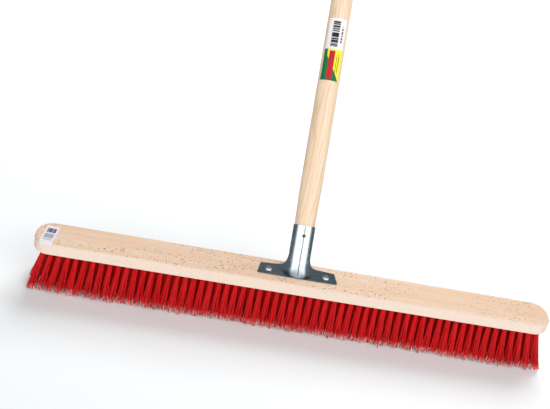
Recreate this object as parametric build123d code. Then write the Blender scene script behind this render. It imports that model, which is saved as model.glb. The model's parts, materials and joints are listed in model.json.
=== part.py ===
from build123d import *
from math import cos, radians, sin, sqrt, tan
import os

# Push broom, in millimetres. X runs along the brush block, +Z is up, and the handle leans away
# towards +Y. The origin lies on the plane of the bristle tips, under the middle of the block.

# Brush block: a beech board with rounded corners and arrises
BLOCK_LENGTH = 800.0
BLOCK_WIDTH = 56.0
BLOCK_THICKNESS = 20.0
BLOCK_CORNER_RADIUS = 25.0
TOP_ARRIS_RADIUS = 5.0
BOTTOM_ARRIS_RADIUS = 1.0

# Bristle tufts: five staggered rows, each tuft folded round an anchor in a blind hole
BRISTLE_LENGTH = 72.0
TUFTS_IN_LONG_ROW = 61
ROW_COUNT = 5
TUFT_SPAN = 765.0
ROW_SPACING = 11.0
TUFT_HOLE_RADIUS = 3.25
TUFT_HOLE_DEPTH = 12.0
TUFT_FOLD_RADIUS = 2.7
TUFT_TIP_RADIUS = 5.2
LONG_FAN = 8.0
END_FAN = 6.5
END_FAN_PITCHES = 5.0
OUTER_ROW_LEAN = 4.0
ANCHOR_LENGTH = 6.46
ANCHOR_WIDTH = 1.8
ANCHOR_THICKNESS = 0.5
ANCHOR_CLEARANCE = 1.2

# Handle socket: one steel sheet, formed as a leaning tube with two flat wings
HANDLE_TILT = 36.5
SOCKET_OFFSET = 10.5
SHEET = 1.0
TUBE_RADIUS = 16.9
TUBE_LENGTH = 68.0
WING_FRONT_HALF = 62.0
WING_BACK_HALF = 57.8
WING_FRONT = -13.2
WING_BULGE = 0.6
WING_BACK = 12.7
WING_CORNER_RADIUS = 2.0
FLARE_SIDE = 28.0
FLARE_LENGTH = 22.0
FLARE_SECTIONS = 5
SEAM_GAP = 1.2
SEAM_GAP_AT_RIM = 2.0
SEAM_END_HEIGHT = 5.4
NAIL_HOLE_RADIUS = 2.8
NAIL_HOLE_FROM_RIM = 15.9

# Screws that hold the wings down, midway between tufts of the middle row
SCREW_PITCHES = 3.5
SCREW_RADIUS = 2.0
SCREW_LENGTH = 16.0
SCREW_POINT = 4.0
SCREW_HEAD_RADIUS = 5.5
SCREW_HEAD_HEIGHT = 3.5
SCREW_FIT = 0.05
WING_HOLE_RADIUS = 2.3
RECESS_WIDTH = 1.3
RECESS_SPAN = 6.4
RECESS_DEPTH = 2.0

# Handle: a turned wooden pole, tapered where it enters the socket
HANDLE_LENGTH = 1500.0
HANDLE_RADIUS = 17.1
HANDLE_START = 10.0
HANDLE_END_RADIUS = 13.0
RIM_CLEARANCE = 0.08
TAPER_ABOVE_RIM = 65.0
CROWN_RADIUS = 12.0
PILOT_HOLE_RADIUS = 2.3
PILOT_HOLE_DEPTH = 14.0

# Paper labels
LABEL_THICKNESS = 0.12
HANDLE_LABEL_START = 294.6
HANDLE_LABEL_LENGTH = 97.5
HANDLE_LABEL_LEFT = 57.0
HANDLE_LABEL_RIGHT = 46.0
BLOCK_LABEL_WIDTH = 20.0
BLOCK_LABEL_LENGTH = 38.0
BLOCK_LABEL_X = -376.5
BLOCK_LABEL_Y = -2.5
BLOCK_LABEL_TURN = -3.5

BLOCK_TOP = BRISTLE_LENGTH + BLOCK_THICKNESS
PITCH = TUFT_SPAN / (TUFTS_IN_LONG_ROW - 1)
BORE_RADIUS = TUBE_RADIUS - SHEET
NECK_RADIUS = BORE_RADIUS - RIM_CLEARANCE
SCREW_X = SCREW_PITCHES * PITCH
UPRIGHT = (Align.CENTER, Align.CENTER, Align.MIN)
HANGING = (Align.CENTER, Align.CENTER, Align.MAX)

# The handle's axis: local +Z runs up the handle from the block's top, local -Y faces the front.
HANDLE_AXIS = Plane(
    origin=(0, SOCKET_OFFSET, BLOCK_TOP),
    x_dir=(1, 0, 0),
    z_dir=(0, sin(radians(HANDLE_TILT)), cos(radians(HANDLE_TILT))),
)


def row_y(row):
    """How far row number row, counted from the front, lies behind the block's middle."""
    return (row - (ROW_COUNT + 1) / 2) * ROW_SPACING


def tuft_places(row):
    """The X of each tuft in a row. The even rows have one tuft fewer, midway between the others."""
    count = TUFTS_IN_LONG_ROW - (row + 1) % 2
    return [(i - (count - 1) / 2) * PITCH for i in range(count)]


def tuft_plane(x, y):
    """A tuft's own frame at the block's underside: local -Z runs down the tuft, which fans outwards."""
    from_end = (TUFT_SPAN / 2 - abs(x)) / PITCH
    end_share = max(0.0, 1 - from_end / END_FAN_PITCHES)
    fan = LONG_FAN * abs(x) / (TUFT_SPAN / 2) + END_FAN * end_share
    lean_x = tan(radians(fan)) * (1 if x > 0 else -1)
    lean_y = tan(radians(OUTER_ROW_LEAN * y / row_y(ROW_COUNT)))
    return Plane(origin=(x, y, BRISTLE_LENGTH), x_dir=(1, 0, lean_x), z_dir=(-lean_x, -lean_y, 1))


def anchor_shape():
    """A flat steel anchor wedged across the bottom of a tuft's hole, with the tuft folded round it."""
    middle = TUFT_HOLE_DEPTH - ANCHOR_CLEARANCE - ANCHOR_WIDTH / 2
    return Pos(0, 0, middle) * Box(ANCHOR_THICKNESS, ANCHOR_LENGTH, ANCHOR_WIDTH)


def tuft_shape():
    """One tuft, tapering from its fold in the hole to its spread tips, before it is trimmed."""
    overrun = 12.0
    spread = (TUFT_TIP_RADIUS - TUFT_FOLD_RADIUS) / (BRISTLE_LENGTH + TUFT_HOLE_DEPTH)
    tip_radius = TUFT_TIP_RADIUS + spread * overrun
    length = BRISTLE_LENGTH + TUFT_HOLE_DEPTH + overrun
    cone = Pos(0, 0, TUFT_HOLE_DEPTH) * Cone(tip_radius, TUFT_FOLD_RADIUS, length, align=HANGING)
    return cone - anchor_shape()


def tuft_hole():
    """The blind hole of one tuft."""
    return Pos(0, 0, -1.5) * Cylinder(TUFT_HOLE_RADIUS, TUFT_HOLE_DEPTH + 1.5, align=UPRIGHT)


def row_planes(row):
    """The frames of all the tufts in a row."""
    return [tuft_plane(x, row_y(row)) for x in tuft_places(row)]


def make_tuft_row(row):
    """The tufts of one row as separate solids, trimmed level at the tips."""
    below = Box(2 * BLOCK_LENGTH, 4 * BLOCK_WIDTH, BLOCK_TOP, align=HANGING)
    tuft = tuft_shape()
    return Compound(children=[(plane * tuft - below).solid() for plane in row_planes(row)])


def make_anchor_row(row):
    """The anchors of one row as separate solids."""
    anchor = anchor_shape()
    return Compound(children=[(plane * anchor).solid() for plane in row_planes(row)])


def screw_places():
    """The two screws' places on the block's top."""
    return [Pos(side * SCREW_X, 0, BLOCK_TOP) for side in (-1, 1)]


def make_block():
    """The brush block, drilled from below for the tufts and from above for the screws."""
    outline = RectangleRounded(BLOCK_LENGTH, BLOCK_WIDTH, BLOCK_CORNER_RADIUS)
    block = Pos(0, 0, BRISTLE_LENGTH) * extrude(outline, BLOCK_THICKNESS)
    block = fillet(block.edges().group_by(Axis.Z)[-1], TOP_ARRIS_RADIUS)
    block = fillet(block.edges().group_by(Axis.Z)[0], BOTTOM_ARRIS_RADIUS)
    hole = tuft_hole()
    holes = [plane * hole for row in range(1, ROW_COUNT + 1) for plane in row_planes(row)]
    shank = screw_shank(SCREW_FIT)
    return block - holes - [place * shank for place in screw_places()]


def screw_shank(clearance):
    """A screw's shank below the block's top, straight and then pointed."""
    radius = SCREW_RADIUS + clearance
    straight = SCREW_LENGTH - SHEET - SCREW_POINT
    shank = Cylinder(radius, straight, align=HANGING)
    return shank + Pos(0, 0, -straight) * Cone(radius / 4, radius, SCREW_POINT, align=HANGING)


def make_screw():
    """One round-head screw with a cross recess, its head's seat on the wing."""
    neck = Cylinder(SCREW_RADIUS, SHEET, align=UPRIGHT)
    dome_radius = (SCREW_HEAD_RADIUS**2 + SCREW_HEAD_HEIGHT**2) / (2 * SCREW_HEAD_HEIGHT)
    dome = Pos(0, 0, SHEET + SCREW_HEAD_HEIGHT - dome_radius) * Sphere(dome_radius)
    head = dome & Pos(0, 0, SHEET) * Cylinder(SCREW_HEAD_RADIUS, SCREW_HEAD_HEIGHT, align=UPRIGHT)
    top = Pos(0, 0, SHEET + SCREW_HEAD_HEIGHT)
    slots = [top * Box(*size, RECESS_DEPTH, align=HANGING) for size in
             ((RECESS_SPAN, RECESS_WIDTH), (RECESS_WIDTH, RECESS_SPAN))]
    return screw_shank(0) + neck + head - slots


def make_screws():
    """Both screws as separate solids."""
    screw = make_screw()
    return Compound(children=[(place * screw).solid() for place in screw_places()])


def wing_outline():
    """The plan of the wings, a little wider at the front, where the edge bows forwards."""
    front_left = (-WING_FRONT_HALF, WING_FRONT)
    front_right = (WING_FRONT_HALF, WING_FRONT)
    back_right = (WING_BACK_HALF, WING_BACK)
    back_left = (-WING_BACK_HALF, WING_BACK)
    edges = ThreePointArc(front_left, (0, WING_FRONT - WING_BULGE), front_right)
    edges += Polyline(front_right, back_right, back_left, front_left)
    outline = make_face(edges)
    return fillet(outline.vertices(), WING_CORNER_RADIUS)


def make_flare(inset):
    """The trumpet that blends the tube's foot into the wings, its surface moved inwards by inset."""
    foot_height = SHEET - inset
    sections = []
    for step in range(FLARE_SECTIONS):
        along = step / (FLARE_SECTIONS - 1)
        narrowing = 1 - sqrt(1 - (1 - along)**2)
        side = TUBE_RADIUS + (FLARE_SIDE - TUBE_RADIUS) * narrowing - inset
        depth = WING_BACK + (TUBE_RADIUS - WING_BACK) * along - inset
        tilt = radians(HANDLE_TILT * along)
        start = Vector(0, 0, BLOCK_TOP + foot_height) * (1 - along)
        centre = start + HANDLE_AXIS.from_local_coords(Vector(0, 0, FLARE_LENGTH)) * along
        plane = Plane(origin=centre, x_dir=(1, 0, 0), z_dir=(0, sin(tilt), cos(tilt)))
        sections.append(plane * Ellipse(side, depth))
    return loft(sections)


def make_socket():
    """The steel socket: wings and tube in one sheet, with the open seam and the nail hole in front."""
    wings = Pos(0, 0, BLOCK_TOP) * extrude(wing_outline(), SHEET)
    below = Pos(0, 0, BLOCK_TOP) * Box(BLOCK_LENGTH, BLOCK_LENGTH, 4 * TUBE_LENGTH, align=HANGING)
    run_out = 2 * TUBE_RADIUS
    start = Pos(0, 0, -run_out)
    tube = HANDLE_AXIS * start * Cylinder(TUBE_RADIUS, TUBE_LENGTH + run_out, align=UPRIGHT) - below
    bore = HANDLE_AXIS * start * Cylinder(BORE_RADIUS, TUBE_LENGTH + 2 * run_out, align=UPRIGHT)
    body = wings + tube + make_flare(0) - make_flare(SHEET)
    front = (Align.CENTER, Align.MAX, Align.MIN)
    tilt = radians(HANDLE_TILT)
    seam_end = Pos(0, 0, (SEAM_END_HEIGHT - TUBE_RADIUS * sin(tilt)) / cos(tilt))
    seam = HANDLE_AXIS * seam_end * Box(SEAM_GAP, 2 * TUBE_RADIUS, TUBE_LENGTH + run_out, align=front)
    hole_height = Pos(0, 0, TUBE_LENGTH - NAIL_HOLE_FROM_RIM)
    mouth = HANDLE_AXIS * hole_height * Box(SEAM_GAP_AT_RIM, 2 * TUBE_RADIUS, run_out, align=front)
    drill = Cylinder(NAIL_HOLE_RADIUS, 2 * TUBE_RADIUS, align=UPRIGHT)
    nail_hole = HANDLE_AXIS * hole_height * Rot(90, 0, 0) * drill
    screw_holes = [place * Cylinder(WING_HOLE_RADIUS, 4 * SHEET) for place in screw_places()]
    return body - bore - seam - mouth - nail_hole - screw_holes


def make_handle():
    """The handle: a cone inside the socket, a short taper above its rim, and a rounded top.

    A blind pilot hole for a nail lies behind the socket's nail hole.
    """
    end = HANDLE_START + HANDLE_LENGTH
    line = Polyline(
        (0, HANDLE_START),
        (HANDLE_END_RADIUS, HANDLE_START),
        (NECK_RADIUS, TUBE_LENGTH),
        (HANDLE_RADIUS, TUBE_LENGTH + TAPER_ABOVE_RIM),
        (HANDLE_RADIUS, end),
        (0, end),
        close=True,
    )
    profile = make_face(line)
    crown = profile.vertices().sort_by(lambda corner: corner.X + corner.Y)[-1]
    pole = revolve(Plane.XZ * fillet(crown, CROWN_RADIUS), Axis.Z)
    hole_bottom = Pos(0, PILOT_HOLE_DEPTH - NECK_RADIUS, TUBE_LENGTH - NAIL_HOLE_FROM_RIM)
    pilot_hole = hole_bottom * Rot(90, 0, 0) * Cylinder(PILOT_HOLE_RADIUS, NECK_RADIUS, align=UPRIGHT)
    return HANDLE_AXIS * (pole - pilot_hole)


def make_handle_label():
    """The paper label wrapped part of the way round the handle."""
    first = -90 - HANDLE_LABEL_LEFT
    sweep = HANDLE_LABEL_LEFT + HANDLE_LABEL_RIGHT
    inner = CenterArc((0, 0), HANDLE_RADIUS, first, sweep)
    outer = CenterArc((0, 0), HANDLE_RADIUS + LABEL_THICKNESS, first, sweep)
    sides = [Line(inner @ end, outer @ end) for end in (0, 1)]
    section = make_face([inner, outer, *sides])
    return HANDLE_AXIS * Pos(0, 0, HANDLE_LABEL_START) * extrude(section, HANDLE_LABEL_LENGTH)


def make_block_label():
    """The small paper label on the block's top, near its left end."""
    label = Box(BLOCK_LABEL_WIDTH, BLOCK_LABEL_LENGTH, LABEL_THICKNESS, align=UPRIGHT)
    return Pos(BLOCK_LABEL_X, BLOCK_LABEL_Y, BLOCK_TOP) * Rot(0, 0, BLOCK_LABEL_TURN) * label


def build_all():
    """Every piece by name."""
    pieces = {
        "broom_block": make_block(),
        "handle_socket": make_socket(),
        "socket_screws": make_screws(),
        "broom_handle": make_handle(),
        "handle_label": make_handle_label(),
        "block_label": make_block_label(),
    }
    for row in range(1, ROW_COUNT + 1):
        pieces[f"tuft_row_{row}"] = make_tuft_row(row)
        pieces[f"tuft_anchors_{row}"] = make_anchor_row(row)
    return pieces


os.makedirs("parts", exist_ok=True)
for name, piece in build_all().items():
    export_step(piece, f"parts/{name}.step")
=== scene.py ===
import json
from math import atan2, cos, pi, radians, sin, sqrt, tan

import bpy
import numpy as np
from mathutils import Matrix, Vector


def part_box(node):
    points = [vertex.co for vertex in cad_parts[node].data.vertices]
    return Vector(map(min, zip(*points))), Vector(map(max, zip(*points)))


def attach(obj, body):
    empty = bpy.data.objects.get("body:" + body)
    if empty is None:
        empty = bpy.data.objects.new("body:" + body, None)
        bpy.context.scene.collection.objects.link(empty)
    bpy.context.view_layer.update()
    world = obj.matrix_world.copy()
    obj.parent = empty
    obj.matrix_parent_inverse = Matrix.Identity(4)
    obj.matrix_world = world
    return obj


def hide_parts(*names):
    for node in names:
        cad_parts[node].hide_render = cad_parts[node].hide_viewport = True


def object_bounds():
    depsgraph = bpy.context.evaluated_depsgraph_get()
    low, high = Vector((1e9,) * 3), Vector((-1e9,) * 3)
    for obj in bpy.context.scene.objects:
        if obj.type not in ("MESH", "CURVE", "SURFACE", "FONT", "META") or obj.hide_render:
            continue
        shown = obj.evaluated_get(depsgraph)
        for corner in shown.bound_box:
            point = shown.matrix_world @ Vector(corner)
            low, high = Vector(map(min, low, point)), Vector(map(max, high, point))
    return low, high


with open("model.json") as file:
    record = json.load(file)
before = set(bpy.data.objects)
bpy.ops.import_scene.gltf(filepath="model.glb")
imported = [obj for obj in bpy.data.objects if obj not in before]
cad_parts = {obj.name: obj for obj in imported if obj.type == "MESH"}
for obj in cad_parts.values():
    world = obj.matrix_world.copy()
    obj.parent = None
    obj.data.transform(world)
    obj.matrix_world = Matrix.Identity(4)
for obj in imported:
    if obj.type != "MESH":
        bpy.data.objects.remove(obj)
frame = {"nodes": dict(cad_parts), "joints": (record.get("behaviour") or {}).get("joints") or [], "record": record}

# Push broom. Sizes here are in millimetres, in the frame's own axes: X runs along the block, +Z is
# up, and the handle leans away towards +Y. Vertices are turned into metres when a piece is made.
MM = 0.001
SHARP_ANGLE = 40.0
CAD_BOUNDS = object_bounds()
BLOCK_LOW, BLOCK_HIGH = (np.array(corner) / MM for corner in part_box("broom_block"))
BLOCK_TOP = BLOCK_HIGH[2]
BLOCK_BOTTOM = BLOCK_LOW[2]
BLOCK_CORNER_RADIUS = 25.0
TOP_ARRIS_RADIUS = 5.0

# The handle's own directions, and the point where its axis crosses the block's top
SIDE = np.array([1.0, 0.0, 0.0])
AXIS = np.array(frame["joints"][0]["axis"])
BACK = np.cross(AXIS, SIDE)
SHAFT = next(m for m in frame["record"]["mounts"] if m["name"] == "handle_shaft")
SHAFT_POINT = np.array(SHAFT["pos_m"]) / MM
FOOT = SHAFT_POINT - AXIS * (SHAFT_POINT[2] - BLOCK_TOP) / AXIS[2]
TILT = atan2(AXIS[1], AXIS[2])
HANDLE_RADIUS = SHAFT["dims"]["r_mm"]

# Handle socket. Angles are in degrees round the tube, from -90 at its front to 90 at its back, and the
# wings take up the skin from the front to WING_END_ANGLE. LIFT keeps them just off the block.
SHEET = 1.0
SHEET_EDGE_RADIUS = 0.3
SHEET_EDGE_ANGLE = 50.0
TUBE_RADIUS = 16.9
TUBE_LENGTH = 68.0
LIFT = 0.03
WING_FRONT_HALF = 62.0
WING_BACK_HALF = 57.8
WING_FRONT = -13.2
WING_BULGE = 0.6
WING_BACK = 12.7
WING_CORNER_RADIUS = 2.2
WING_SIDE_LEAN = 8.0
WING_END_ANGLE = 10.0
WING_STEPS = 10
FRONT_COLUMNS = 61
BACK_COLUMNS = 31
PLAIN_ROWS = 12
HOLE_ROWS = 17
LOW_ROWS = 22

# The flare's reach out over the wings and its rise up the tube, at the front and at the side. Its bends say
# how far the curve is pulled towards the corner that it rounds off, from the tube and from the toe. Below
# FLARE_TOP the skin's points are spread so that each column ends where its own flare starts.
FLARE_REACH = (3.0, 12.0)
FLARE_RISE = (18.0, 18.9)
FLARE_BEND = (0.5, 0.56)
FLARE_TOE_BEND = (0.22, 0.56)
FLARE_TURN_ANGLE = 75.0
FLARE_END_ANGLE = 24.0
FLARE_TOP = 30.0
FLARE_STEPS = 16

# The seam up the tube's front, and the nail hole in it. The skin makes room over SEAM_REACH_ANGLE.
SEAM_HALF_GAP = 0.6
SEAM_HALF_GAP_AT_RIM = 1.0
SEAM_END_HEIGHT = 3.0
SEAM_END_TAPER = 2.0
SEAM_REACH_ANGLE = 42.0
NAIL_HOLE_RADIUS = 2.8
NAIL_HOLE_HEIGHT = TUBE_LENGTH - 15.9

# Bristle tufts. Fans and leans are in degrees, and the fan grows by END_FAN over the last few pitches.
ROW_COUNT = 5
TUFTS_IN_LONG_ROW = 61
TUFT_SPAN = 765.0
PITCH = TUFT_SPAN / (TUFTS_IN_LONG_ROW - 1)
ROW_SPACING = 11.0
LONG_FAN = 8.0
END_FAN = 6.5
END_FAN_PITCHES = 5.0
OUTER_ROW_LEAN = 4.0
TUFT_ROOT_RADIUS = 2.7
TUFT_TIP_RADIUS = 6.6
TUFT_FLARE = 1.05
ROOT_IN_HOLE = 6.0

# One tuft's filaments. They gather in clumps towards their tips, and a few stray. Turns are in radians.
# The clump's centre and the jitter are shares of the tuft's radius, and the scatter is of a filament's own.
FILAMENTS = 50
FILAMENT_RADIUS = 0.6
FILAMENT_SCATTER = (0.85, 1.2)
FILAMENT_SIDES = 4
FILAMENT_POINTS = 5
GOLDEN_TURN = 2.39996
JITTER = 0.05
FILAMENT_BEND = 0.5
TUFT_BEND = 0.9
STRAY_SHARE = 0.07
STRAY_SPREAD = 3.0
STRAY_LIMIT = 5.0
CLUMPS = 5
CLUMPING = 0.58
CLUMP_TURN = 0.6
CLUMP_CENTRE = 0.68
CLUMP_SPREAD = 1.18
CLUMP_SHORTFALL = 4.2
SHORTFALL_SHAPE = 1.2
SHORTFALL_SCALE = 0.9
SHORTEST_FILAMENT = 55.0
FLOOR_GAP = 0.3
CUT_SLANT = 0.35
LOWEST_TIP = 0.05

# Labels, lying GLUE off the surface. The handle label's left and right are degrees from the handle's front.
PAPER = 0.12
GLUE = 0.01
CORNER_LIFT = 0.25
BLOCK_LABEL_CENTRE = (-378.0, -4.8)
BLOCK_LABEL_WIDTH = 20.0
BLOCK_LABEL_LENGTH = 44.0
BLOCK_LABEL_TURN = -3.5
HANDLE_LABEL_START = 294.6
HANDLE_LABEL_LENGTH = 97.5
HANDLE_LABEL_LEFT = 57.0
HANDLE_LABEL_RIGHT = 46.0

FLOOR_REACH = 9000.0

# Camera, turned round the point it looks at, then shifted across its own picture
CAMERA_AROUND = -4.2147
CAMERA_DOWN = 33.892
CAMERA_ROLL = 12.041
CAMERA_DISTANCE = 1300.0
CAMERA_ACROSS = -31.46
CAMERA_ABOVE = 117.99
CAMERA_TARGET_ABOVE_BLOCK_BOTTOM = 5.0
CAMERA_LENS = 55.186
CAMERA_SENSOR = 36.0

# Surround: how its brightness fades from the front (-Y) to the back, and from low to high, as the Y and Z
# of a direction cross a span
FRONT_SPAN = (-0.29, -0.10)
FRONT_STRENGTH = (1.46, 0.12)
HEIGHT_SPAN = (0.64, 0.82)
HEIGHT_STRENGTH = (1.0, 0.25)
TINT_SPAN = (-0.30, -0.08)
FRONT_TINT = (0.99, 0.99, 1.0, 1)
BACK_TINT = (0.80, 0.96, 1.06, 1)

# Sockets of the mix node when it mixes colours
MIX_FACTOR, MIX_FIRST, MIX_SECOND, MIX_RESULT = 0, 6, 7, 2

random = np.random.default_rng(7)


def srgb(red, green, blue):
    """A colour given in 0 to 255 screen values, as the linear colour that shaders take."""
    shares = (red / 255, green / 255, blue / 255)
    return (*(c / 12.92 if c <= 10 / 255 else ((c + 0.055) / 1.055) ** 2.4 for c in shares), 1.0)


class Look:
    """A material's node tree, with short ways to add nodes to it."""

    def __init__(self, name):
        self.material = bpy.data.materials.new(name)
        self.material.use_nodes = True
        self.tree = self.material.node_tree
        self.tree.nodes.clear()
        self.surface = self.tree.nodes.new("ShaderNodeBsdfPrincipled")
        output = self.tree.nodes.new("ShaderNodeOutputMaterial")
        self.tree.links.new(self.surface.outputs["BSDF"], output.inputs["Surface"])
        place = self.tree.nodes.new("ShaderNodeTexCoord").outputs["Object"]
        self.place = self.mapping(place, scale=(1 / MM, 1 / MM, 1 / MM))

    def put(self, node, key, value):
        """Links value to the node's input if it is a socket, and otherwise sets it."""
        if isinstance(value, bpy.types.NodeSocket):
            self.tree.links.new(value, node.inputs[key])
        else:
            node.inputs[key].default_value = value

    def set(self, **values):
        """Sets inputs of the surface shader, with _ for each space in a name."""
        for key, value in values.items():
            self.put(self.surface, key.replace("_", " "), value)

    def mapping(self, vector, scale=(1, 1, 1), rotation=(0, 0, 0), location=(0, 0, 0)):
        """Coordinates scaled, then turned, then moved."""
        node = self.tree.nodes.new("ShaderNodeMapping")
        self.put(node, "Vector", vector)
        self.put(node, "Scale", scale)
        self.put(node, "Rotation", rotation)
        self.put(node, "Location", location)
        return node.outputs["Vector"]

    def noise(self, vector, scale=1.0, detail=2.0, roughness=0.5, distortion=0.0):
        """A cloudy grey value, mostly between 0.3 and 0.7."""
        node = self.tree.nodes.new("ShaderNodeTexNoise")
        for key, value in zip(("Vector", "Scale", "Detail", "Roughness", "Distortion"),
                              (vector, scale, detail, roughness, distortion)):
            self.put(node, key, value)
        return node.outputs["Fac"]

    def math(self, kind, *values):
        """The result of one arithmetic step on numbers or grey values."""
        node = self.tree.nodes.new("ShaderNodeMath")
        node.operation = kind
        for index, value in enumerate(values):
            self.put(node, index, value)
        return node.outputs[0]

    def spread(self, value, low, high, to_low=0.0, to_high=1.0):
        """value's range low to high, stretched over to_low to to_high and held inside it."""
        node = self.tree.nodes.new("ShaderNodeMapRange")
        for index, number in enumerate((value, low, high, to_low, to_high)):
            self.put(node, index, number)
        return node.outputs[0]

    def mix(self, factor, first, second):
        """The first colour at factor 0 and the second at 1."""
        node = self.tree.nodes.new("ShaderNodeMix")
        node.data_type = "RGBA"
        for index, value in ((MIX_FACTOR, factor), (MIX_FIRST, first), (MIX_SECOND, second)):
            self.put(node, index, value)
        return node.outputs[MIX_RESULT]

    def normal(self):
        """The surface's own direction, in the object's axes."""
        return self.tree.nodes.new("ShaderNodeTexCoord").outputs["Normal"]

    def split(self, vector):
        """A vector's three parts."""
        node = self.tree.nodes.new("ShaderNodeSeparateXYZ")
        self.put(node, 0, vector)
        return node.outputs[0], node.outputs[1], node.outputs[2]

    def bump(self, height, distance):
        """Raises the surface by height times distance, in millimetres."""
        node = self.tree.nodes.new("ShaderNodeBump")
        self.put(node, "Height", height)
        self.put(node, "Distance", distance * MM)
        self.put(node, "Strength", 1.0)
        self.put(self.surface, "Normal", node.outputs["Normal"])

    def between(self, value, low, high):
        """1 where value lies between low and high, otherwise 0."""
        above = self.math("GREATER_THAN", value, low)
        below = self.math("LESS_THAN", value, high)
        return self.math("MULTIPLY", above, below)

    def both(self, *masks):
        """The product of all the masks."""
        result = masks[0]
        for mask in masks[1:]:
            result = self.math("MULTIPLY", result, mask)
        return result

    def stripes(self, value, pitch, share):
        """1 on the first share of every pitch, otherwise 0."""
        return self.math("LESS_THAN", self.math("FRACT", self.math("DIVIDE", value, pitch)), share)

    def bars(self, value, width, share, seed=0.0):
        """Stripes of random ink, width wide each, of which about share are inked."""
        cell = self.math("FLOOR", self.math("DIVIDE", value, width))
        node = self.tree.nodes.new("ShaderNodeTexWhiteNoise")
        node.noise_dimensions = "1D"
        self.put(node, "W", self.math("ADD", cell, seed))
        return self.math("LESS_THAN", node.outputs["Value"], share)

    def handle_place(self):
        """Coordinates in the handle's own frame: Z along it from the block's top, -Y to its front."""
        turn = Matrix.Rotation(TILT, 3, "X")
        shift = turn @ Vector(FOOT)
        return self.mapping(self.place, rotation=(TILT, 0, 0), location=tuple(-shift))


def beech_look():
    """Pale sanded beech, with soft bands along X and short brown ray flecks; faces turned to the front get a
    painted sheen that makes them paler, with fewer flecks.
    """
    look = Look("beech")
    bands = look.noise(look.mapping(look.place, (0.004, 0.10, 0.10)), 1.0, 3.0, 0.55, 0.6)
    fibre = look.noise(look.mapping(look.place, (0.05, 1.6, 1.6)), 1.0, 3.0, 0.6)
    colour = look.mix(look.spread(bands, 0.3, 0.7), srgb(226, 194, 167), srgb(236, 212, 190))
    colour = look.mix(look.spread(fibre, 0.35, 0.75, 0.0, 0.35), colour, srgb(204, 164, 132))
    shade = look.noise(look.place, 0.02, 2.0)
    colour = look.mix(look.spread(shade, 0.35, 0.7, 0.0, 0.18), colour, srgb(236, 190, 150))
    flecks = look.noise(look.mapping(look.place, (0.32, 0.58, 0.58)), 1.0, 1.0, 0.4, 0.4)
    patches = look.noise(look.mapping(look.place, (0.008, 0.035, 0.035)), 1.0, 1.0)
    marks = look.both(look.spread(flecks, 0.63, 0.69), look.spread(patches, 0.40, 0.56, 0.1, 1.0))
    # Painted light: faces turned to the front (-Y) are painted paler and their flecks are thinned out, a painted
    # sheen standing in for the light that falls on the front.
    facing = look.split(look.normal())[1]
    edge = look.spread(facing, -0.45, -0.8)
    marks = look.both(marks, look.spread(edge, 0.0, 1.0, 1.0, 0.25))
    colour = look.mix(look.math("MULTIPLY", edge, 0.8), colour, srgb(232, 214, 199))
    colour = look.mix(marks, colour, srgb(140, 98, 64))
    look.set(Base_Color=colour, Roughness=look.spread(fibre, 0.3, 0.7, 0.42, 0.60), Specular_IOR_Level=0.35)
    look.bump(look.math("SUBTRACT", fibre, marks), 0.06)
    return look.material


def handle_look():
    """Pale turned wood with growth rings in long wavering lines, and painted shade where the socket covers it,
    darker further down.
    """
    look = Look("handle_wood")
    place = look.handle_place()
    streaks = look.noise(look.mapping(place, (0.16, 0.16, 0.0022)), 1.0, 4.0, 0.6, 0.5)
    fibre = look.noise(look.mapping(place, (1.3, 1.3, 0.02)), 1.0, 3.0, 0.6)
    pores = look.noise(look.mapping(place, (2.6, 2.6, 0.16)), 1.0, 1.0, 0.4)
    wander = look.noise(look.mapping(place, (0.03, 0.03, 0.004)), 1.0, 2.0, 0.5)
    across = look.math("MULTIPLY", look.split(place)[0], 0.16)
    phase = look.math("ADD", across, look.math("MULTIPLY", wander, 9.0))
    rings = look.math("SINE", look.math("MULTIPLY", phase, 2 * pi))
    colour = look.mix(look.spread(streaks, 0.33, 0.68), srgb(243, 210, 176), srgb(251, 228, 202))
    colour = look.mix(look.spread(rings, 0.3, 1.0, 0.0, 0.55), colour, srgb(222, 184, 146))
    colour = look.mix(look.spread(fibre, 0.4, 0.75, 0.0, 0.40), colour, srgb(224, 186, 148))
    marks = look.spread(pores, 0.68, 0.76, 0.0, 0.5)
    colour = look.mix(marks, colour, srgb(180, 130, 88))
    height = look.split(place)[2]
    # Painted shade inside the socket: below the tube's rim the wood is painted grey, and darker further down,
    # where shade falls in the tube.
    socket_painted_shade = look.mix(look.spread(height, 28.0, 14.0), srgb(228, 214, 198), srgb(132, 114, 98))
    colour = look.mix(look.spread(height, TUBE_LENGTH - 0.5, TUBE_LENGTH - 1.5), colour, socket_painted_shade)
    look.set(Base_Color=colour, Roughness=look.spread(fibre, 0.3, 0.7, 0.34, 0.50), Specular_IOR_Level=0.4,
             Coat_Weight=0.12, Coat_Roughness=0.3)
    look.bump(look.math("SUBTRACT", fibre, marks), 0.05)
    return look.material


def zinc_look():
    """Zinc-plated sheet steel, drawn along the tube, with faint clouds and a few fine scratches."""
    look = Look("zinc_sheet")
    place = look.handle_place()
    clouds = look.noise(place, 0.09, 3.0, 0.6)
    drawn = look.noise(look.mapping(place, (2.4, 2.4, 0.06)), 1.0, 2.0, 0.6)
    scratches = look.noise(look.mapping(place, (0.5, 0.5, 5.0)), 1.0, 2.0, 0.7)
    colour = look.mix(look.spread(clouds, 0.3, 0.7), srgb(218, 230, 237), srgb(228, 236, 242))
    colour = look.mix(look.spread(scratches, 0.66, 0.8, 0.0, 0.15), colour, srgb(160, 170, 178))
    rough = look.spread(clouds, 0.3, 0.7, 0.20, 0.25)
    rough = look.math("ADD", rough, look.spread(drawn, 0.3, 0.7, 0.0, 0.05))
    look.set(Base_Color=colour, Metallic=1.0, Roughness=rough)
    look.bump(drawn, 0.0006)
    return look.material


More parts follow.
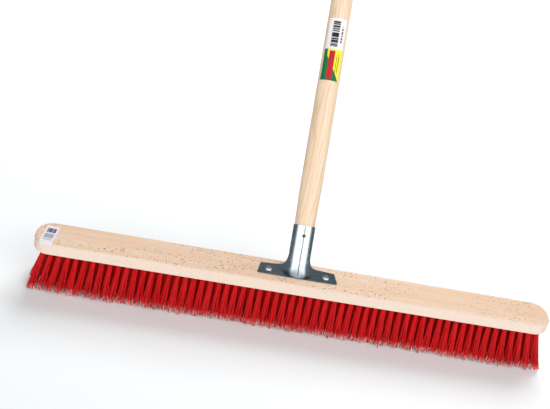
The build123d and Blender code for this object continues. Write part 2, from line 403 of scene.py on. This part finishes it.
def steel_look(name, light, dark, roughness):
    """Small plain steel parts, a little uneven in colour and polish."""
    look = Look(name)
    clouds = look.noise(look.place, 0.35, 3.0, 0.6)
    grain = look.noise(look.place, 3.0, 2.0, 0.6)
    look.set(Base_Color=look.mix(look.spread(clouds, 0.3, 0.7), dark, light), Metallic=1.0,
             Roughness=look.spread(grain, 0.3, 0.7, roughness, roughness + 0.15))
    look.bump(grain, 0.015)
    return look.material


def bristle_look():
    """Red synthetic filaments: each differs a little, and the cut tips are paler."""
    look = Look("bristle")
    strand = look.noise(look.mapping(look.place, (0.85, 0.85, 0.02)), 1.0, 1.0, 0.5)
    tuft = look.noise(look.mapping(look.place, (0.08, 0.08, 0.004)), 1.0, 2.0, 0.5)
    colour = look.mix(look.spread(strand, 0.3, 0.7), srgb(176, 4, 8), srgb(226, 14, 14))
    colour = look.mix(look.spread(tuft, 0.3, 0.7, 0.0, 0.3), colour, srgb(192, 6, 16))
    height = look.split(look.place)[2]
    worn = look.both(look.spread(height, 14.0, 3.0), look.spread(strand, 0.50, 0.55))
    colour = look.mix(look.math("MULTIPLY", worn, 0.9), colour, srgb(255, 216, 210))
    look.set(Base_Color=colour, Roughness=look.spread(strand, 0.3, 0.7, 0.45, 0.62), Specular_IOR_Level=0.22)
    look.bump(look.noise(look.place, 2.0, 2.0), 0.02)
    return look.material


def paper_ground(look):
    """Sets the paper's fibre and roughness, and gives its slightly soiled white."""
    fibre = look.noise(look.place, 1.2, 3.0, 0.6)
    soiled = look.noise(look.place, 0.06, 2.0)
    ground = look.mix(look.spread(soiled, 0.4, 0.7, 0.0, 0.5), srgb(246, 244, 244), srgb(232, 226, 224))
    look.set(Roughness=look.spread(fibre, 0.3, 0.7, 0.38, 0.55), Specular_IOR_Level=0.4)
    look.bump(fibre, 0.02)
    return ground


def block_label_look():
    """A pale price label with a bar pattern, blank lines in place of print, and two blue rules."""
    look = Look("block_label_paper")
    colour = look.mix(0.5, paper_ground(look), srgb(214, 204, 214))
    turn = radians(BLOCK_LABEL_TURN)
    x, y = BLOCK_LABEL_CENTRE
    back = (-(x * cos(turn) + y * sin(turn)), -(-x * sin(turn) + y * cos(turn)), 0)
    across, along, _ = look.split(look.mapping(look.place, rotation=(0, 0, -turn), location=back))
    half_width, line_pitch, line_jump = 6.8, 2.6, 31.0
    inside = look.between(across, -half_width, half_width)
    bars = look.both(inside, look.between(along, 5.0, 15.5), look.bars(across, 0.5, 0.85))
    colour = look.mix(bars, colour, srgb(84, 88, 112))
    line = look.math("FLOOR", look.math("DIVIDE", along, line_pitch))
    shifted = look.math("ADD", across, look.math("MULTIPLY", line, line_jump))
    words = look.both(look.stripes(along, line_pitch, 0.66), look.bars(shifted, 1.4, 0.94), 0.9)
    words = look.both(inside, look.between(along, -8.0, 2.6), words)
    colour = look.mix(words, colour, srgb(104, 108, 132))
    rules = look.both(inside, look.between(along, -13.2, -9.4), look.stripes(along, 2.2, 0.45), 0.7)
    colour = look.mix(rules, colour, srgb(86, 112, 150))
    look.set(Base_Color=colour)
    return look.material


def handle_label_look():
    """A label of plain colour fields: green and yellow with a red band, and bars on white above."""
    look = Look("handle_label_paper")
    white = paper_ground(look)
    x, y, along = look.split(look.handle_place())
    angle = look.math("ARCTAN2", x, look.math("MULTIPLY", y, -1.0))
    across = look.math("MULTIPLY", angle, HANDLE_RADIUS)
    height = look.math("SUBTRACT", along, HANDLE_LABEL_START)
    tone = look.spread(look.noise(look.place, 0.4, 2.0), 0.3, 0.7)
    green = look.mix(tone, srgb(0, 104, 58), srgb(6, 122, 70))
    yellow = look.mix(tone, srgb(246, 232, 40), srgb(252, 242, 70))
    red = look.mix(tone, srgb(186, 16, 34), srgb(206, 26, 42))
    white_from = 49.0
    left_edge = look.math("ADD", across, look.math("MULTIPLY", height, 0.06))
    wedge_edge = look.math("ADD", across, look.math("MULTIPLY", height, 0.62))
    left_field = look.math("LESS_THAN", left_edge, -8.2)
    wedge = look.math("LESS_THAN", wedge_edge, 13.0)
    colour = look.mix(look.math("MAXIMUM", left_field, wedge), yellow, green)
    band = look.both(look.between(across, -7.6, 1.4), look.between(height, 2.6, 46.4))
    colour = look.mix(band, colour, red)
    rows = look.between(look.math("FRACT", look.math("DIVIDE", across, 3.4)), 0.1, 0.62)
    words = look.both(look.between(across, 4.2, 10.4), look.between(height, 13.0, 42.0), rows,
                      look.bars(height, 1.5, 0.8, 11.0), 0.7)
    colour = look.mix(words, colour, srgb(84, 84, 16))
    bars = look.both(look.between(across, -8.6, 2.6), look.between(height, 53.0, 93.0),
                     look.bars(height, 0.5, 0.72))
    white = look.mix(bars, white, srgb(30, 28, 32))
    small = look.both(look.between(across, 6.0, 9.0), look.between(height, 60.0, 86.0),
                      look.bars(height, 1.2, 0.66, 5.0), 0.85)
    white = look.mix(small, white, srgb(50, 48, 50))
    look.set(Base_Color=look.mix(look.math("GREATER_THAN", height, white_from), colour, white))
    return look.material


def floor_look():
    """The plain pale floor."""
    look = Look("floor")
    tone = look.noise(look.place, 0.002, 2.0)
    look.set(Base_Color=look.mix(tone, (0.900, 0.930, 0.935, 1), (0.920, 0.950, 0.955, 1)), Roughness=0.9,
             Specular_IOR_Level=0.1)
    return look.material


def add_mesh(name, points, faces, material):
    """A smooth-shaded mesh object from points in millimetres, sharp only where faces meet steeply."""
    mesh = bpy.data.meshes.new(name)
    mesh.from_pydata((np.asarray(points) * MM).tolist(), [], [list(map(int, face)) for face in faces])
    mesh.validate()
    mesh.shade_smooth()
    mesh.set_sharp_from_angle(angle=radians(SHARP_ANGLE))
    mesh.materials.append(material)
    obj = bpy.data.objects.new(name, mesh)
    bpy.context.scene.collection.objects.link(obj)
    return obj


def add_piece(name, points, faces, material, body, slot, *nodes):
    """A mesh with its material that rides on a body and stands for CAD nodes, which it hides. The slot is not
    used.
    """
    obj = add_mesh(name, points, faces, material)
    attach(obj, body)
    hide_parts(*nodes)
    return obj


def grid_faces(columns, rows, first=0):
    """The quads of a grid of points stored column by column."""
    quads = []
    for column in range(columns - 1):
        for row in range(rows - 1):
            a = first + column * rows + row
            quads.append((a, a + rows, a + rows + 1, a + 1))
    return quads


def close_sheet(outer, inner, quads):
    """Joins an outer and an inner skin, which share their quads, by a wall round every free edge."""
    count = len(outer)
    edges = {}
    for quad in quads:
        for a, b in zip(quad, (*quad[1:], quad[0])):
            if (b, a) in edges:
                del edges[(b, a)]
            else:
                edges[(a, b)] = True
    faces = list(quads)
    faces += [tuple(count + i for i in reversed(quad)) for quad in quads]
    faces += [(b, a, a + count, b + count) for a, b in edges]
    return np.vstack([outer, inner]), faces


def smooth_step(value):
    """0 below 0, 1 above 1, and a smooth rise between them."""
    value = min(max(value, 0.0), 1.0)
    return value * value * (3 - 2 * value)


def wing_outline():
    """One wing's outline from the middle of its front edge, round both corners to its back corner."""
    corner = WING_CORNER_RADIUS
    edge_steps, corner_steps, side_steps = 24, 8, 12
    points = []
    for step in range(edge_steps + 1):
        x = (WING_FRONT_HALF - corner) * step / edge_steps
        points.append((x, WING_FRONT - WING_BULGE * (1 - (x / WING_FRONT_HALF) ** 2)))
    for step in range(1, corner_steps):
        turn = radians(-90 + (90 - WING_SIDE_LEAN) * step / corner_steps)
        x = WING_FRONT_HALF - corner + corner * cos(turn)
        points.append((x, WING_FRONT + corner + corner * sin(turn)))
    slope = (WING_FRONT_HALF - WING_BACK_HALF) / (WING_BACK - WING_FRONT)
    for step in range(1, side_steps):
        y = WING_FRONT + corner + (WING_BACK - WING_FRONT - 2 * corner) * step / side_steps
        points.append((WING_FRONT_HALF - slope * (y - WING_FRONT), y))
    for step in range(corner_steps + 1):
        turn = radians(-WING_SIDE_LEAN + (90 + WING_SIDE_LEAN) * step / corner_steps)
        points.append((WING_BACK_HALF - corner + corner * cos(turn), WING_BACK - corner + corner * sin(turn)))
    return np.array(points)


def along_outline(outline, share):
    """The point at a share of an outline's length."""
    steps = np.hypot(*np.diff(outline, axis=0).T)
    length = np.concatenate([[0], np.cumsum(steps)])
    at = share * length[-1]
    return np.array([np.interp(at, length, outline[:, axis]) for axis in (0, 1)])


def seam_gap(height):
    """Half the seam's width at a height along the tube, wider at the nail hole and towards the rim."""
    end = (SEAM_END_HEIGHT - TUBE_RADIUS * sin(TILT)) / cos(TILT)
    if height < end:
        return 0.0
    gap = SEAM_HALF_GAP if height < NAIL_HOLE_HEIGHT else SEAM_HALF_GAP_AT_RIM
    gap *= smooth_step((height - end) / SEAM_END_TAPER)
    from_hole = height - NAIL_HOLE_HEIGHT
    if abs(from_hole) < NAIL_HOLE_RADIUS:
        gap = max(gap, sqrt(NAIL_HOLE_RADIUS**2 - from_hole**2))
    return gap


def tube_heights():
    """Heights along the tube from its rim down, close together round the nail hole."""
    hole = NAIL_HOLE_HEIGHT
    above = np.linspace(TUBE_LENGTH, hole + NAIL_HOLE_RADIUS + 0.3, PLAIN_ROWS)
    around = hole - (NAIL_HOLE_RADIUS + 0.02) * np.cos(np.linspace(pi, 2 * pi, HOLE_ROWS))
    below = np.linspace(hole - NAIL_HOLE_RADIUS - 0.5, FLARE_TOP, PLAIN_ROWS)
    return np.concatenate([above, around, below])


def socket_column(angle, inset):
    """One line down the socket's skin, from the rim to the toe of the flare, at an angle round the tube."""
    half = angle if angle <= 90 else 180 - angle
    side = 1 if angle <= 90 else -1
    radius = TUBE_RADIUS - inset
    turn = radians(half)
    wing_share = 1 - smooth_step((half - WING_END_ANGLE) / (FLARE_END_ANGLE - WING_END_ANGLE))
    foot_height = (SHEET - inset) * wing_share + LIFT
    foot_along = (foot_height + radius * sin(turn) * sin(TILT)) / cos(TILT)
    sideways = smooth_step((half + 90) / FLARE_TURN_ANGLE)
    reach, rise, bend, toe_bend = (at_front + (at_side - at_front) * sideways for at_front, at_side in (
        FLARE_REACH, FLARE_RISE, FLARE_BEND, FLARE_TOE_BEND))
    reach = (reach + 0.5 * inset) * wing_share
    rise *= wing_share
    if half <= WING_END_ANGLE:
        toe_turn = radians(-90 + (half + 90) * 90 / (90 + WING_END_ANGLE))
    else:
        toe_turn = radians((half - WING_END_ANGLE) * 90 / (90 - WING_END_ANGLE))
    bend_start = foot_along + rise
    heights = np.concatenate([tube_heights(), np.linspace(FLARE_TOP, bend_start, LOW_ROWS)[1:]])
    points = []
    near_seam = max(0.0, 1 - (half + 90) / SEAM_REACH_ANGLE)
    for height in heights:
        shift = seam_gap(height) / TUBE_RADIUS * near_seam
        points.append(FOOT + AXIS * height + radius * (cos(turn + shift) * SIDE + sin(turn + shift) * BACK))
    foot = FOOT + AXIS * foot_along + radius * (cos(turn) * SIDE + sin(turn) * BACK)
    toe = foot + reach * np.array([cos(toe_turn), sin(toe_turn), 0])
    start = foot + AXIS * rise
    handles = np.array([start, start + (foot - start) * bend, toe + (foot - toe) * toe_bend, toe])
    for step in range(1, FLARE_STEPS + 1):
        t = step / FLARE_STEPS
        weights = np.array([(1 - t) ** 3, 3 * t * (1 - t) ** 2, 3 * t * t * (1 - t), t**3])
        point = weights @ handles
        height = (point[2] - BLOCK_TOP - TUBE_RADIUS * sin(TILT)) / cos(TILT)
        points.append(point + seam_gap(height) * near_seam * SIDE)
    points = np.array(points)
    points[:, 0] *= side
    return points


def wing_column(toe, share, inset):
    """A line across a wing from the flare's toe to the outline."""
    side = 1 if toe[0] >= 0 else -1
    edge = along_outline(wing_outline(), share)
    end = np.array([side * edge[0], edge[1], BLOCK_TOP + SHEET - inset + LIFT])
    return np.array([toe + (end - toe) * step / WING_STEPS for step in range(WING_STEPS + 1)])


def socket_skin(front, behind, inset):
    """One skin of the socket, inset from its outer face, as points and quads: the tube, then both wings."""
    right = front + behind
    angles = right + [180 - angle for angle in reversed(right[:-1])]
    columns = [socket_column(angle, inset) for angle in angles]
    points = list(np.concatenate(columns))
    quads = grid_faces(len(angles), len(columns[0]))
    for first, step in ((0, 1), (len(angles) - 1, -1)):
        start = len(points)
        for index in range(len(front)):
            toe = columns[first + step * index][-1]
            line = wing_column(toe, index / (len(front) - 1), inset)
            if abs(toe[0]) < 1e-6:
                line[:, 0] = abs(line[:, 0]) * step
            points.extend(line)
        wing = grid_faces(len(front), WING_STEPS + 1, start)
        quads += wing if step > 0 else [tuple(reversed(quad)) for quad in wing]
    return np.array(points), quads


def merge_same(points, quads):
    """Joins points that coincide: gives the indices of those still used, and the faces between them."""
    first_at = {}
    index_of = [first_at.setdefault(tuple(np.round(point, 3)), index) for index, point in enumerate(points)]
    merged = []
    for quad in quads:
        corners = [index_of[i] for i in quad]
        kept = [c for i, c in enumerate(corners) if c != corners[i - 1]]
        if len(kept) > 2:
            merged.append(tuple(kept))
    used = sorted({i for quad in merged for i in quad})
    place = {old: new for new, old in enumerate(used)}
    return used, [tuple(place[i] for i in quad) for quad in merged]


def make_socket(material):
    """The steel socket as one closed sheet: a seamed tube that flares into two wings."""
    front = list(np.linspace(-90, WING_END_ANGLE, FRONT_COLUMNS))
    behind = list(np.linspace(WING_END_ANGLE, 90, BACK_COLUMNS))[1:]
    outer, quads = socket_skin(front, behind, 0.0)
    inner, _ = socket_skin(front, behind, SHEET)
    used, quads = merge_same(outer, quads)
    points, faces = close_sheet(outer[used], inner[used], quads)
    faces = [tuple(reversed(face)) for face in faces]
    socket = add_piece("socket_sheet", points, faces, material, "head", "zinc_sheet", "handle_socket")
    edges = socket.modifiers.new("edges", "BEVEL")
    edges.width = SHEET_EDGE_RADIUS * MM
    edges.segments = 2
    edges.limit_method = "ANGLE"
    edges.angle_limit = radians(SHEET_EDGE_ANGLE)
    return socket


def tuft_frames(row):
    """The root point and the downward direction of each tuft in a row, as the CAD places them."""
    y = (row - (ROW_COUNT + 1) / 2) * ROW_SPACING
    last_y = (ROW_COUNT - 1) / 2 * ROW_SPACING
    count = TUFTS_IN_LONG_ROW - (row + 1) % 2
    for i in range(count):
        x = (i - (count - 1) / 2) * PITCH
        end_share = max(0.0, 1 - (TUFT_SPAN / 2 - abs(x)) / PITCH / END_FAN_PITCHES)
        fan = LONG_FAN * abs(x) / (TUFT_SPAN / 2) + END_FAN * end_share
        lean_x = tan(radians(fan)) * (1 if x > 0 else -1)
        lean_y = tan(radians(OUTER_ROW_LEAN * y / last_y))
        yield np.array([x, y, BLOCK_BOTTOM]), np.array([lean_x, lean_y, -1.0])


def filament_paths(root, down):
    """Centre lines of one tuft's filaments, spreading from the hole to uneven, slightly bent tips."""
    count = FILAMENTS
    ring = np.sqrt((np.arange(count) + 0.5) / count)
    turn = np.arange(count) * GOLDEN_TURN + random.uniform(0, 2 * pi)
    disc = np.stack([ring * np.cos(turn), ring * np.sin(turn)], 1) + random.normal(0, JITTER, (count, 2))
    bend = random.normal(0, FILAMENT_BEND, (count, 2)) + random.normal(0, TUFT_BEND, 2)
    stray = (random.random(count) < STRAY_SHARE)[:, None] * np.clip(
        random.normal(0, STRAY_SPREAD, (count, 2)), -STRAY_LIMIT, STRAY_LIMIT)
    sector = np.floor(turn / (2 * pi / CLUMPS)).astype(int) % CLUMPS
    clump_turn = (sector + 0.5) * 2 * pi / CLUMPS + random.uniform(0, CLUMP_TURN)
    clumps = CLUMP_CENTRE * np.stack([np.cos(clump_turn), np.sin(clump_turn)], 1)
    gathered = (disc + (clumps - disc) * CLUMPING) * CLUMP_SPREAD
    short = random.gamma(SHORTFALL_SHAPE, SHORTFALL_SCALE, count)
    short = short + random.uniform(0, CLUMP_SHORTFALL, CLUMPS)[sector]
    length = np.clip(BLOCK_BOTTOM - FLOOR_GAP - short, SHORTEST_FILAMENT, None)
    paths = np.empty((count, FILAMENT_POINTS, 3))
    for step, t in enumerate(np.linspace(0, 1, FILAMENT_POINTS)):
        fall = -ROOT_IN_HOLE + (length + ROOT_IN_HOLE) * t
        reach = max(0.0, (t * (BLOCK_BOTTOM + ROOT_IN_HOLE) - ROOT_IN_HOLE) / BLOCK_BOTTOM)
        radius = TUFT_ROOT_RADIUS + (TUFT_TIP_RADIUS - TUFT_ROOT_RADIUS) * reach**TUFT_FLARE
        spot = disc + (gathered - disc) * reach
        paths[:, step, :2] = root[:2] + spot * radius + (bend + stray) * reach**2
        paths[:, step, :2] += fall[:, None] * down[:2]
        paths[:, step, 2] = root[2] - fall
    return paths


def make_tuft_row(row, material):
    """One row of tufts as separate filaments, each a closed prism with a slightly slanted cut tip."""
    paths = np.concatenate([filament_paths(root, down) for root, down in tuft_frames(row)])
    count = len(paths)
    turn = random.uniform(0, 2 * pi, count)[:, None] + np.arange(FILAMENT_SIDES) * 2 * pi / FILAMENT_SIDES
    thick = FILAMENT_RADIUS * random.uniform(*FILAMENT_SCATTER, count)[:, None, None]
    section = np.stack([np.cos(turn), np.sin(turn), np.zeros_like(turn)], 2) * thick
    rings = paths[:, :, None, :] + section[:, None, :, :]
    rings[:, -1, :, 2] += np.cos(turn) * CUT_SLANT
    rings[:, -1, :, 2] = np.maximum(rings[:, -1, :, 2], LOWEST_TIP)
    points = rings.reshape(-1, 3)
    sides, steps = FILAMENT_SIDES, FILAMENT_POINTS
    pattern = [list(range(sides))]
    for step in range(steps - 1):
        for side in range(sides):
            after = (side + 1) % sides
            low, high = step * sides, (step + 1) * sides
            pattern.append([low + after, low + side, high + side, high + after])
    pattern.append([(steps - 1) * sides + side for side in reversed(range(sides))])
    starts = (np.arange(count) * sides * steps)[:, None, None]
    faces = (starts + np.array(pattern)[None]).reshape(-1, 4)
    return add_piece(f"bristles_row_{row}", points, faces, material, "head", "bristle", f"tuft_row_{row}")


def block_surface(x, y):
    """The height of the block's top at a point in plan, rounded over at the arris."""
    half_length = BLOCK_HIGH[0] - BLOCK_CORNER_RADIUS
    half_width = BLOCK_HIGH[1] - BLOCK_CORNER_RADIUS
    outside = sqrt(max(abs(x) - half_length, 0) ** 2 + max(abs(y) - half_width, 0) ** 2)
    inward = max(BLOCK_CORNER_RADIUS - outside, 0.0)
    if inward >= TOP_ARRIS_RADIUS:
        return BLOCK_TOP
    return BLOCK_TOP - TOP_ARRIS_RADIUS + sqrt(TOP_ARRIS_RADIUS**2 - (TOP_ARRIS_RADIUS - inward) ** 2)


def make_block_label(material):
    """The paper label on the block's left end, pressed over the front arris."""
    turn = radians(BLOCK_LABEL_TURN)
    columns, rows = 20, 56
    skins = []
    for height in (PAPER, GLUE):
        points = []
        for column in range(columns):
            for row in range(rows):
                u = BLOCK_LABEL_WIDTH * (column / (columns - 1) - 0.5)
                v = BLOCK_LABEL_LENGTH * (row / (rows - 1) - 0.5)
                x = BLOCK_LABEL_CENTRE[0] + u * cos(turn) - v * sin(turn)
                y = BLOCK_LABEL_CENTRE[1] + u * sin(turn) + v * cos(turn)
                points.append((x, y, block_surface(x, y) + height))
        skins.append(np.array(points))
    points, faces = close_sheet(*skins, grid_faces(columns, rows))
    return add_piece("price_label", points, faces, material, "head", "paper", "block_label")


def make_handle_label(material):
    """The paper label round the handle's front, its corners very slightly lifted."""
    columns, rows = 48, 40
    skins = []
    for height in (PAPER, GLUE):
        points = []
        for column in range(columns):
            share = column / (columns - 1)
            angle = radians(-90 - HANDLE_LABEL_LEFT + (HANDLE_LABEL_LEFT + HANDLE_LABEL_RIGHT) * share)
            for row in range(rows):
                up = row / (rows - 1)
                lifted = CORNER_LIFT * (abs(2 * share - 1) * abs(2 * up - 1)) ** 12
                radius = HANDLE_RADIUS + height + lifted
                along = AXIS * (HANDLE_LABEL_START + HANDLE_LABEL_LENGTH * up)
                points.append(FOOT + along + radius * (cos(angle) * SIDE + sin(angle) * BACK))
        skins.append(np.array(points))
    points, faces = close_sheet(*skins, grid_faces(columns, rows))
    return add_piece("pole_label", points, faces, material, "handle", "paper", "handle_label")


def make_floor(material):
    """A wide flat floor at the bristle tips."""
    reach = FLOOR_REACH
    corners = [(-reach, -reach, 0), (reach, -reach, 0), (reach, reach, 0), (-reach, reach, 0)]
    floor = add_mesh("floor", np.array(corners) + (0, 0, CAD_BOUNDS[0][2] / MM), [(0, 1, 2, 3)], material)
    floor.visible_glossy = False


def paint(node, material):
    """Gives a CAD node its final material."""
    slots = frame["nodes"][node].data.materials
    slots.clear()
    slots.append(material)


def add_camera():
    """The camera, to the front and above, turned a little about its own axis."""
    around, down, roll = radians(CAMERA_AROUND), radians(CAMERA_DOWN), radians(CAMERA_ROLL)
    right = Vector((cos(around), sin(around), 0))
    up = Vector((-sin(around) * sin(down), cos(around) * sin(down), cos(down)))
    ahead = Vector((-sin(around) * cos(down), cos(around) * cos(down), -sin(down)))
    rolled_right = right * cos(roll) + up * sin(roll)
    rolled_up = up * cos(roll) - right * sin(roll)
    target = Vector((0, 0, BLOCK_BOTTOM + CAMERA_TARGET_ABOVE_BLOCK_BOTTOM))
    shift = rolled_right * CAMERA_ACROSS + rolled_up * CAMERA_ABOVE
    place = (target - ahead * CAMERA_DISTANCE + shift) * MM
    data = bpy.data.cameras.new("camera")
    data.lens = CAMERA_LENS
    data.sensor_width = CAMERA_SENSOR
    camera = bpy.data.objects.new("camera", data)
    bpy.context.scene.collection.objects.link(camera)
    turned = Matrix((rolled_right, rolled_up, -ahead)).transposed()
    camera.matrix_world = Matrix.Translation(place) @ turned.to_4x4()
    bpy.context.scene.camera = camera


def add_light(name, place, target, size, power):
    """A soft oblong lamp aimed at a point, all in metres and watts. It shows in no reflection."""
    data = bpy.data.lights.new(name, "AREA")
    data.shape = "RECTANGLE"
    data.size, data.size_y = size
    data.energy = power
    lamp = bpy.data.objects.new(name, data)
    lamp.location = place
    lamp.rotation_euler = (Vector(target) - Vector(place)).to_track_quat("-Z", "Y").to_euler()
    bpy.context.scene.collection.objects.link(lamp)
    lamp.visible_glossy = False


def sky_fade(tree, value, span, strength):
    """A strength that fades smoothly as value crosses a span."""
    fade = tree.nodes.new("ShaderNodeMapRange")
    fade.interpolation_type = "SMOOTHSTEP"
    for name, number in zip(("From Min", "From Max", "To Min", "To Max"), (*span, *strength)):
        fade.inputs[name].default_value = number
    tree.links.new(value, fade.inputs["Value"])
    return fade.outputs["Result"]


def light_scene():
    """Two front lamps, one overhead, one behind that casts the shadow, and a surround bright in front."""
    front_target, back_target = (0.0, 0.0, 0.1), (0.1, 0.3, 0.0)
    add_light("key", (1.25, -1.75, 2.3), front_target, (1.3, 1.3), 10)
    add_light("fill", (-1.1, -2.1, 1.9), front_target, (1.1, 1.1), 5)
    add_light("overhead", (0.2, 0.8, 3.2), back_target, (4.2, 3.6), 16)
    add_light("back", (0.60, 1.75, 2.1), back_target, (2.0, 1.8), 62)
    world = bpy.data.worlds.new("surround")
    world.use_nodes = True
    tree = world.node_tree
    direction = tree.nodes.new("ShaderNodeTexCoord").outputs["Generated"]
    split = tree.nodes.new("ShaderNodeSeparateXYZ")
    tree.links.new(direction, split.inputs[0])
    front = sky_fade(tree, split.outputs["Y"], FRONT_SPAN, FRONT_STRENGTH)
    low = sky_fade(tree, split.outputs["Z"], HEIGHT_SPAN, HEIGHT_STRENGTH)
    product = tree.nodes.new("ShaderNodeMath")
    product.operation = "MULTIPLY"
    tree.links.new(front, product.inputs[0])
    tree.links.new(low, product.inputs[1])
    background = tree.nodes["Background"]
    tint = tree.nodes.new("ShaderNodeMix")
    tint.data_type = "RGBA"
    tree.links.new(sky_fade(tree, split.outputs["Y"], TINT_SPAN, (0.0, 1.0)), tint.inputs[MIX_FACTOR])
    tint.inputs[MIX_FIRST].default_value = FRONT_TINT
    tint.inputs[MIX_SECOND].default_value = BACK_TINT
    tree.links.new(tint.outputs[MIX_RESULT], background.inputs["Color"])
    tree.links.new(product.outputs[0], background.inputs["Strength"])
    bpy.context.scene.world = world
    bpy.context.scene.view_settings.view_transform = "Standard"


paint("broom_block", beech_look())
paint("broom_handle", handle_look())
paint("socket_screws", steel_look("zinc_screw", srgb(244, 248, 250), srgb(222, 230, 234), 0.44))
anchor_steel = steel_look("anchor_steel", srgb(190, 190, 190), srgb(150, 150, 152), 0.35)
bristle = bristle_look()
for row in range(1, ROW_COUNT + 1):
    paint(f"tuft_anchors_{row}", anchor_steel)
    make_tuft_row(row, bristle)
make_socket(zinc_look())
make_block_label(block_label_look())
make_handle_label(handle_label_look())
make_floor(floor_look())
add_camera()
light_scene()
